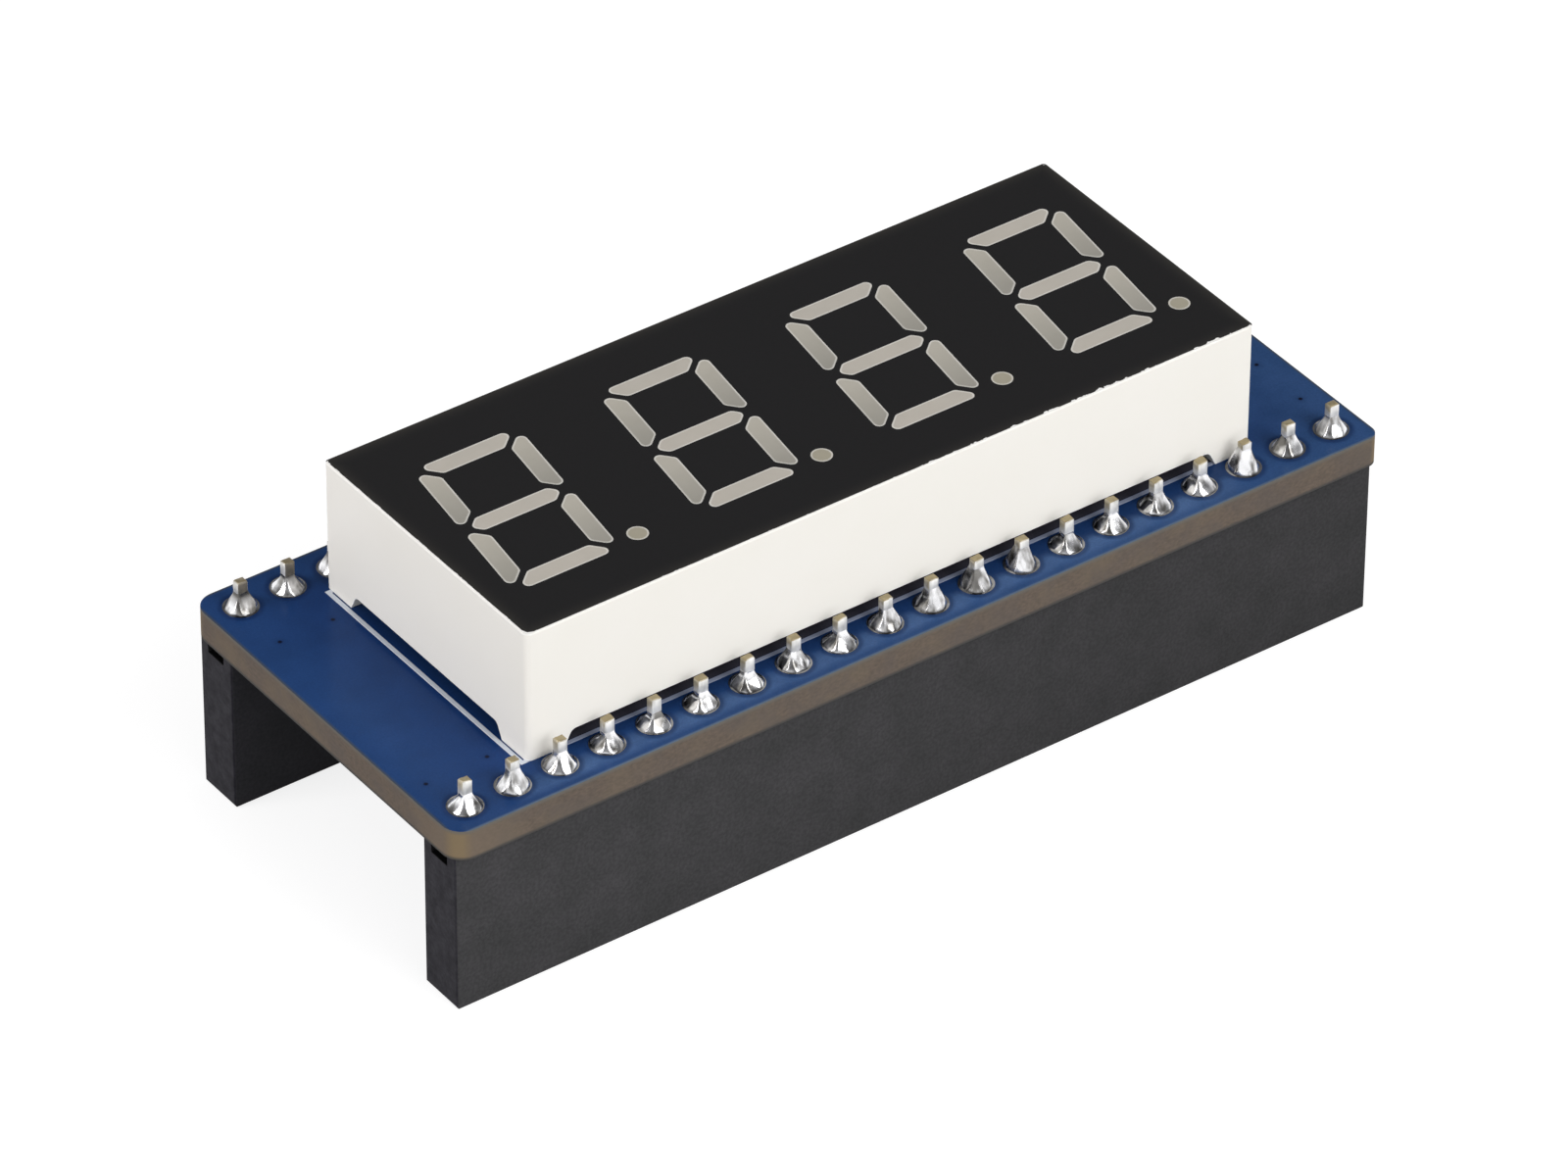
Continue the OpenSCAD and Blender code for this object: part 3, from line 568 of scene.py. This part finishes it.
def finish_cad_nodes():
    """Every CAD node gets its material."""
    plastic = plain_finish("register_plastic", rgb(38, 38, 40), rgb(48, 48, 50), 0.55)
    lead = plain_finish("lead_metal", rgb(205, 205, 208), rgb(185, 185, 190), 0.3, metallic=1.0)
    resistor = chip_ceramic("resistor_ceramic", rgb(28, 28, 30), rgb(38, 38, 40), "resistor_1")
    capacitor = chip_ceramic("capacitor_ceramic", rgb(176, 150, 115), rgb(160, 134, 100), "capacitor_1")
    header = header_plastic()
    resin = segment_resin()
    looks = {
        "circuit_board": BOARD,
        "header_housing_front": header,
        "header_housing_rear": header,
        "contacts_front": CONTACT,
        "contacts_rear": CONTACT,
        "solder_front": SOLDER,
        "solder_rear": SOLDER,
        "display_housing": display_plastic(),
        "face_mask": mask_print(),
        "digit_1": resin,
        "digit_2": resin,
        "digit_3": resin,
        "digit_4": resin,
        "led_chips": plain_finish("led_chip", rgb(220, 190, 110), rgb(200, 170, 90), 0.3),
        "display_board": plain_finish("display_laminate", rgb(70, 120, 80), rgb(60, 105, 70), 0.5),
        "potting": plain_finish("potting_resin", rgb(40, 42, 46), rgb(52, 54, 58), 0.3),
        "display_leads": lead,
        "lead_solder": SOLDER,
        "shift_register_1": plastic,
        "shift_register_2": plastic,
        "register_leads_1": lead,
        "register_leads_2": lead,
        "chip_solder": SOLDER,
    }
    for name in NODES:
        if name.startswith("resistor_"):
            looks[name] = resistor
        if name.startswith("capacitor_"):
            looks[name] = capacitor
    for name, material in looks.items():
        slots = NODES[name].data.materials
        slots.clear()
        slots.append(material)


# ---------------------------------------------------------------- pieces made here


def piece(name, build, material, sharp_angle):
    """A piece whose mesh is made by build, fixed to the body."""
    work = bmesh.new()
    build(work)
    bmesh.ops.recalc_face_normals(work, faces=work.faces)
    mesh = bpy.data.meshes.new(name)
    work.to_mesh(mesh)
    work.free()
    mesh.materials.append(material)
    mesh.shade_smooth()
    mesh.set_sharp_from_angle(angle=math.radians(sharp_angle))
    made = bpy.data.objects.new(name, mesh)
    bpy.context.scene.collection.objects.link(made)
    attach(made, BODY)
    return made


def skin(work, loops):
    """Faces between each loop of vertices and the next."""
    count = len(loops[0])
    for a, b in zip(loops, loops[1:]):
        for i in range(count):
            j = (i + 1) % count
            work.faces.new((a[i], a[j], b[j], b[i]))


def loft(work, rings):
    """A skin through rings of points, closed by a fan at each end."""
    loops = [[work.verts.new(p) for p in points] for points in rings]
    skin(work, loops)
    for loop in (loops[0], loops[-1]):
        count = len(loop)
        centre = work.verts.new(sum((v.co for v in loop), Vector()) / count)
        for i in range(count):
            work.faces.new((loop[i], loop[(i + 1) % count], centre))


def raised(width, bevel, height):
    """Section of a low raised line with bevelled edges, as distances from its middle and heights."""
    half = width / 2
    return ((half, 0), (half - bevel, height), (bevel - half, height), (-half, 0))


RING_POINTS = 64
# How square a ring is: round, at the neck of a joint, and at the end of a tail
ROUND = 2.0
SQUARE_NECK = 6.0
SQUARE_END = 5.0


def ring(middle, half_x, half_y, z, squareness=ROUND, swell=None):
    """Points round middle. swell gives the share of the radius that each angle has."""
    points = []
    for i in range(RING_POINTS):
        angle = 2 * math.pi * i / RING_POINTS
        k = swell(angle) if swell else 1.0
        c, s = math.cos(angle), math.sin(angle)
        x = math.copysign(abs(c) ** (2 / squareness), c) * half_x * k
        y = math.copysign(abs(s) ** (2 / squareness), s) * half_y * k
        points.append(Vector((middle.x + x, middle.y + y, z)))
    return points


# Solder: the film that it leaves on a tail, the rim of the pad beyond it, the pad's thickness, the pad's
# share of the joint's CAD radius, and the hole that solder fills
FILM = 0.02 * MM
PAD_RIM = 0.03 * MM
PAD_T = 0.02 * MM
PAD_SHARE = 0.97
HOLE_R = 0.5 * MM
JOINT_STEPS = 24
# From a thin joint to a full one: how hollow the cone is, its height in millimetres, how flat its facets
# are, and its foot as a share of the joint's CAD radius
HOLLOW = (2.3, 1.15)
RISE = (0.5, 1.15)
FLATNESS = (0.95, 0.45)
FOOT = (1.03, 0.85)
# How far a cone leans to one side, in millimetres
LEAN = 0.05
# Turns and share of the radius of the swellings round a joint
LOBES = ((2, 0.05), (3, 0.04))
# How full each joint of the front row is, from a thin hollow cone at 0 to a tall bell at 1
FRONT_FULLNESS = (
    0.45, 0.7, 0.55, 0.45, 0.4, 0.4, 0.4, 0.6, 0.45, 0.7,
    0.8, 0.85, 0.95, 0.4, 0.45, 0.55, 0.5, 0.9, 0.6, 0.6
)
# The rear row's are drawn at random, from 0 to this
REAR_FULLNESS = 0.7


def facets(rng, flatness):
    """Share of the radius at an angle, for a round joint flattened between ridges at uneven angles."""
    count = rng.randint(9, 12)
    turn = rng.uniform(0, 2 * math.pi)
    ridges = [turn + (i + rng.uniform(-0.25, 0.25)) * 2 * math.pi / count for i in range(count)]
    ridges.append(ridges[0] + 2 * math.pi)

    def share(angle):
        angle = turn + (angle - turn) % (2 * math.pi)
        if angle < ridges[0]:
            angle += 2 * math.pi
        for a, b in zip(ridges, ridges[1:]):
            if a <= angle <= b:
                return 1 - flatness * (1 - math.cos((b - a) / 2) / math.cos(angle - (a + b) / 2))
        return 1.0

    return share


def solder_joint(work, tail, fill, rng):
    """One joint: solder fills the hole, covers the pad and climbs the tail in a hollow, uneven cone."""
    hollow = mixed(*HOLLOW, fill)
    rise = mixed(*RISE, fill) * rng.uniform(0.95, 1.05) * MM
    lobes = [(turns, size * rng.uniform(0.3, 1), rng.uniform(0, 2 * math.pi)) for turns, size in LOBES]
    flat = facets(rng, mixed(*FLATNESS, fill))
    foot_r = tail.pad_r * mixed(*FOOT, fill) * rng.uniform(0.98, 1.02) - PAD_RIM
    lean = Vector((rng.uniform(-1, 1), rng.uniform(-1, 1), 0)) * LEAN * MM
    rim_r = tail.pad_r * PAD_SHARE
    rings = [
        ring(tail.middle, HOLE_R, HOLE_R, BOARD_BOTTOM),
        ring(tail.middle, HOLE_R, HOLE_R, BOARD_TOP),
        ring(tail.middle, rim_r, rim_r, BOARD_TOP),
        ring(tail.middle, rim_r, rim_r, BOARD_TOP + PAD_T)
    ]
    for step in range(JOINT_STEPS + 1):
        # t goes from 0 at the foot to 1 at the top, spread the other way, and bulge is 1 half way up
        t = step / JOINT_STEPS
        spread = (1 - t) ** hollow
        bulge = math.sin(math.pi * t) ** 0.7

        def swell(angle):
            lobe = sum(size * math.cos(turns * angle + turn) for turns, size, turn in lobes)
            return (1 + (0.2 + bulge) * lobe) * mixed(1.0, flat(angle), spread ** 0.4)

        rings.append(ring(
            tail.middle + lean * bulge,
            mixed(tail.half_x + FILM, foot_r, spread),
            mixed(tail.half_y + FILM, foot_r, spread),
            BOARD_TOP + PAD_T + rise * t,
            mixed(SQUARE_NECK, ROUND, spread ** 0.7),
            swell
        ))
    loft(work, rings)


def tail_end(work, tail, rng):
    """The end of one tail as the shear left it: spread a little, rounded and cut at a slant."""
    slant = Vector((rng.uniform(-0.2, 0.2), rng.uniform(-0.16, 0.16)))
    proud = rng.uniform(0.02, 0.06) * MM
    spread = rng.uniform(0.0, 0.03)
    # Height from the end of the CAD tail, growth of each half width, and share of slant and proud
    steps = (
        (-1.25, 0.0, 0.0),
        (-0.7, 0.0, 0.0),
        (-0.45, spread, 0.2),
        (-0.12, spread, 0.5),
        (-0.05, spread - 0.015, 0.8),
        (0.0, spread - 0.055, 1.0),
        (0.012, spread - 0.1, 1.0)
    )
    rings = []
    for rise, growth, share in steps:
        half_x = tail.half_x + FILM / 2 + growth * MM
        half_y = tail.half_y + FILM / 2 + growth * MM
        z = tail.top + rise * MM + proud * share
        points = ring(tail.middle, half_x, half_y, z, SQUARE_END)
        for point in points:
            offset = point - tail.middle
            point.z += (slant.x * offset.x + slant.y * offset.y) * share
        rings.append(points)
    loft(work, rings)


def make_joints():
    """The solder and the tail ends of both rows, each row with its own random draws."""
    for row in ROWS:
        rng = random.Random(f"joints {row}")
        if row == "front":
            fullness = FRONT_FULLNESS
        else:
            fullness = [rng.random() * REAR_FULLNESS for _ in tails[row]]

        def joints(work):
            for tail, fill in zip(tails[row], fullness):
                solder_joint(work, tail, fill, rng)

        def ends(work):
            for tail in tails[row]:
                tail_end(work, tail, rng)

        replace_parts(piece(f"joints_{row}", joints, SOLDER, 50), f"solder_{row}")
        piece(f"tail_ends_{row}", ends, CONTACT, 40)


def legend_outline(work):
    """The printed line round the foot of the display, from its outer edge over to its inner edge."""
    loops = []
    for grow, z in raised(LEGEND_W, LEGEND_T, LEGEND_T):
        left = LEGEND_LEFT - grow
        right = LEGEND_RIGHT + grow
        front = LEGEND_FRONT - grow
        rear = LEGEND_REAR + grow
        corners = ((left, front), (right, front), (right, rear), (left, rear))
        loops.append([work.verts.new((x, y, BOARD_TOP + z)) for x, y in corners])
    skin(work, loops + loops[:1])


def make_legend():
    piece("legend_outline", legend_outline, legend_ink(), 30)


# Tracks on the underside, as points in millimetres. The other tracks mirror these from left to right and
# from front to rear
TRACK_W = 0.25
POWER_TRACK_W = 0.4
TRACK_T = 0.035
TRACK_BEVEL = 0.03
TRACKS = (
    ((-17.44, 3.2), (-17.44, 5.6), (-19.05, 7.21), (-19.05, 7.62)),
    ((-16.17, 3.2), (-16.17, 6.6), (-16.51, 6.94), (-16.51, 7.62)),
    ((-14.9, 3.2), (-14.9, 5.0)),
    ((-13.63, 3.2), (-13.63, 6.6), (-13.97, 6.94), (-13.97, 7.62)),
    ((-12.36, 3.2), (-12.36, 6.1), (-11.43, 7.03), (-11.43, 7.62)),
    ((-11.1, 3.2), (-11.1, 4.35), (-10.65, 4.8), (-6.8, 4.8), (-6.35, 5.25), (-6.35, 5.7)),
    ((-9.83, 3.2), (-9.83, 3.9), (-9.38, 4.35), (-4.26, 4.35), (-3.81, 4.8), (-3.81, 5.7)),
    ((-8.56, 3.2), (-8.56, 3.45), (-8.11, 3.9), (-1.72, 3.9), (-1.27, 4.35), (-1.27, 5.7)),
    ((-2.25, 2.5), (-2.25, 3.9)),
    ((-0.75, 2.5), (-0.75, 3.38), (-1.27, 3.9)),
    ((-2.25, 0.0), (-2.25, 0.55)),
    ((-0.75, 0.0), (-0.75, 0.55))
)
# These are mirrored from left to right only
POWER_TRACKS = (
    ((-19.45, 0.9), (-19.45, 2.4), (-18.7, 3.15), (-17.5, 3.15)),
    ((-19.45, -0.9), (-19.45, -2.6))
)


def ribbon(work, points, width):
    """A low raised strip along a line on the underside of the board, mitred at its bends."""
    rows = []
    for i, point in enumerate(points):
        before = points[max(i - 1, 0)]
        after = points[min(i + 1, len(points) - 1)]
        back = (point - before if i else after - point).normalized()
        ahead = (after - point if i + 1 < len(points) else point - before).normalized()
        along = (back + ahead).normalized()
        side = Vector((-along.y, along.x)) / along.dot(back)
        row = []
        for off, drop in raised(width, TRACK_BEVEL, TRACK_T):
            place = (point + side * off) * MM
            row.append(work.verts.new((place.x, place.y, BOARD_BOTTOM - drop * MM)))
        rows.append(row)
    skin(work, rows)
    work.faces.new(rows[0])
    work.faces.new(list(reversed(rows[-1])))


def tracks(work):
    for points in TRACKS:
        for turn_x in (1, -1):
            for turn_y in (1, -1):
                ribbon(work, [Vector((x * turn_x, y * turn_y)) for x, y in points], TRACK_W)
    for points in POWER_TRACKS:
        for turn_x in (1, -1):
            ribbon(work, [Vector((x * turn_x, y)) for x, y in points], POWER_TRACK_W)


def make_tracks():
    piece("tracks", tracks, BOARD, 30)


# ---------------------------------------------------------------- studio

FLOOR_SIZE = 6.0
FLOOR_GLOW = 0.82
LIGHT_DISTANCE = 0.7
# The world is white at the horizon and dims between these heights of a unit vector
WORLD_LOW = 0.18
WORLD_HIGH = 0.45
WORLD_ABOVE = (0.25, 0.25, 0.254, 1.0)


def make_floor():
    """A pale matt floor."""
    f = Finish("floor_white", rgb(150, 150, 150), 0.9, specular_ior_level=0.1)
    f.set("Base Color", f.mix(f.noise(0.002), rgb(148, 148, 148), rgb(152, 152, 152)))
    # A little glow for the camera and in reflections lifts the floor to white and thins the shadow
    path = f.node("ShaderNodeLightPath").outputs
    mirrored = f.math("MAXIMUM", path["Is Glossy Ray"], path["Is Transmission Ray"])
    seen = f.math("MAXIMUM", path["Is Camera Ray"], mirrored)
    f.set("Emission Color", WHITE)
    f.set("Emission Strength", f.product(seen, FLOOR_GLOW))
    half = FLOOR_SIZE / 2
    mesh = bpy.data.meshes.new("floor")
    corners = ((-half, -half, 0), (half, -half, 0), (half, half, 0), (-half, half, 0))
    mesh.from_pydata(corners, [], [(0, 1, 2, 3)])
    mesh.materials.append(f.material)
    floor = bpy.data.objects.new("floor", mesh)
    bpy.context.scene.collection.objects.link(floor)


def softbox(name, azimuth, elevation, width, height, power, color=(1.0, 1.0, 1.0), mirrored=True):
    """A soft light that faces the object. It shows in reflections if it is mirrored."""
    data = bpy.data.lights.new(name, "AREA")
    data.shape = "RECTANGLE"
    data.size = width
    data.size_y = height
    data.energy = power
    data.color = color
    light = bpy.data.objects.new(name, data)
    light.visible_glossy = mirrored
    bpy.context.scene.collection.objects.link(light)
    towards = orbit(azimuth, elevation)
    light.location = towards * LIGHT_DISTANCE
    light.rotation_mode = "QUATERNION"
    light.rotation_quaternion = (-towards).to_track_quat("-Z", "Y")


def make_world():
    """Pale light from all round, dimmer from above."""
    world = bpy.data.worlds.new("studio")
    bpy.context.scene.world = world
    world.use_nodes = True
    tree = world.node_tree
    background = tree.nodes["Background"]
    coordinates = tree.nodes.new("ShaderNodeTexCoord")
    split = tree.nodes.new("ShaderNodeSeparateXYZ")
    ramp = tree.nodes.new("ShaderNodeValToRGB")
    tree.links.new(coordinates.outputs["Generated"], split.inputs[0])
    tree.links.new(split.outputs["Z"], ramp.inputs[0])
    tree.links.new(ramp.outputs[0], background.inputs["Color"])
    low, high = ramp.color_ramp.elements
    low.position = WORLD_LOW
    low.color = WHITE
    high.position = WORLD_HIGH
    high.color = WORLD_ABOVE
    background.inputs["Strength"].default_value = 1.0


def make_lights():
    # The large front light is left out of reflections, which show the narrow one instead
    softbox("key", 10, 32, width=0.9, height=0.7, power=2.57, mirrored=False)
    softbox("glint", 14, 38, width=0.32, height=0.42, power=1.7)
    softbox("fill", -103, 27, width=0.34, height=0.3, power=2.35, color=(1.0, 0.985, 0.99))


# ---------------------------------------------------------------- build

make_camera()
make_world()
make_lights()
make_floor()
finish_cad_nodes()
make_joints()
make_legend()
make_tracks()

bpy.context.scene.view_settings.view_transform = "Standard"
